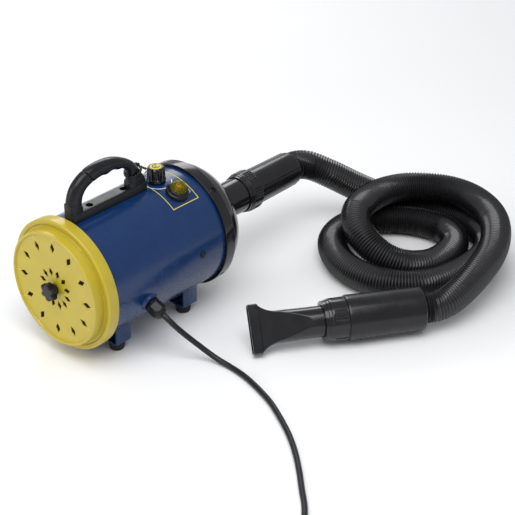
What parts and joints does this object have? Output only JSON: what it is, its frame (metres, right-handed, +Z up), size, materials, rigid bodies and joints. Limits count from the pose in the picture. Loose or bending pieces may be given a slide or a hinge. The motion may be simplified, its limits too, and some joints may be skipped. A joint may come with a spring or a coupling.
{
  "type": "pet dryer",
  "caption": "Forced-air pet dryer: blower in a tube with intake filter, speed and power controls, carrying handle, rubber feet, mains cord, and a corrugated hose with a fan nozzle.",
  "frame": {"origin": "on the floor, under the middle of the body without its cord and hose", "axes": "+X along the blower from the intake to the outlet, +Z up, -Y towards the side with the switch and the cord"},
  "size_m": [0.8034, 0.7466, 0.2634],
  "materials": {
    "blue_paint": "gloss enamel",
    "yellow_plastic": "semi-gloss moulded",
    "black_gloss": "smooth moulded",
    "black_matte": "fine-textured moulded",
    "rubber": "matt",
    "foam": "open-cell foam",
    "steel": "zinc-plated",
    "cast_alloy": "as cast",
    "sheet_alloy": "pressed sheet",
    "copper": "enamelled windings and copper",
    "lamination": "varnished steel laminations",
    "amber_lens": "clear tinted moulding",
    "orange_plastic": "glossy moulded",
    "green_board": "lacquered circuit board"
  },
  "bodies": {
    "housing": {"body_tube": "blue_paint", "intake_bracket": "steel", "acoustic_liner": "foam", "motor_plate": "steel", "motor_gasket": "rubber", "fan_housing": "sheet_alloy", "stator": "lamination", "motor_frame": "cast_alloy", "end_bracket": "cast_alloy", "front_bearing": "steel", "rear_bearing": "steel", "brush_holder_near": "copper", "brush_holder_far": "copper", "motor_mount_ring": "rubber", "rear_cover": "black_gloss", "cover_screw_1": "steel", "cover_screw_2": "steel", "cover_screw_3": "steel", "cover_screw_4": "steel", "outlet_ring": "black_gloss", "body_cuff": "black_gloss", "switch_bezel": "black_matte", "switch_lens": "amber_lens", "switch_body": "black_matte", "speed_control": "steel", "control_board": "green_board", "wiring_loom": "black_matte", "hole_plug": "black_matte", "handle_frame": "black_matte", "handle_grip": "rubber", "handle_screw_1": "steel", "handle_screw_2": "steel", "gland_body": "black_matte", "gland_nut": "black_matte", "power_cord": "rubber", "cord_coil": "rubber", "mains_plug": "black_matte", "hose": "black_gloss", "hand_cuff": "black_gloss", "foot_bracket_front_near": "blue_paint", "rubber_foot_front_near": "rubber", "foot_bracket_front_far": "blue_paint", "rubber_foot_front_far": "rubber", "foot_bracket_rear_near": "blue_paint", "rubber_foot_rear_near": "rubber", "foot_bracket_rear_far": "blue_paint", "rubber_foot_rear_far": "rubber"},
    "filter_cover": {"filter_cover": "yellow_plastic", "filter_foam": "foam"},
    "cover_knob": {"cover_knob": "black_gloss"},
    "rotor": {"impeller": "sheet_alloy", "motor_shaft": "steel", "armature": "copper", "commutator": "copper"},
    "speed_knob": {"speed_knob": "black_gloss", "knob_insert": "yellow_plastic"},
    "power_rocker": {"switch_rocker": "orange_plastic"},
    "nozzle_ring": {"nozzle_ring": "black_gloss"},
    "fan_nozzle": {"fan_nozzle": "black_matte"}
  },
  "joints": [
    {"name": "filter_cover_slide", "type": "slide", "parent": "housing", "child": "filter_cover", "axis": [-1, 0, 0], "range_m": [0, 0.08]},
    {"name": "cover_knob_spin", "type": "hinge", "parent": "filter_cover", "child": "cover_knob", "pos_m": [-0.193, 0, 0.10525], "axis": [1, 0, 0], "continuous": true},
    {"name": "rotor_spin", "type": "hinge", "parent": "housing", "child": "rotor", "pos_m": [-0.014, 0, 0.10525], "axis": [1, 0, 0], "continuous": true},
    {"name": "speed_knob_turn", "type": "hinge", "parent": "housing", "child": "speed_knob", "pos_m": [0.011, 0, 0.2], "axis": [0, 0, 1], "range_deg": [-270, 0]},
    {"name": "power_rocker_tilt", "type": "hinge", "parent": "housing", "child": "power_rocker", "pos_m": [0.016, -0.03914, 0.194], "axis": [0, 0.915, 0.4035], "range_deg": [0, 14]},
    {"name": "nozzle_ring_twist", "type": "hinge", "parent": "housing", "child": "nozzle_ring", "pos_m": [0.2039, -0.3259, 0.0328], "axis": [-0.8251, 0.565, 0], "range_deg": [0, 100]},
    {"name": "fan_nozzle_slide", "type": "slide", "parent": "nozzle_ring", "child": "fan_nozzle", "axis": [-0.8251, 0.565, 0], "range_m": [0, 0.04]}
  ]
}
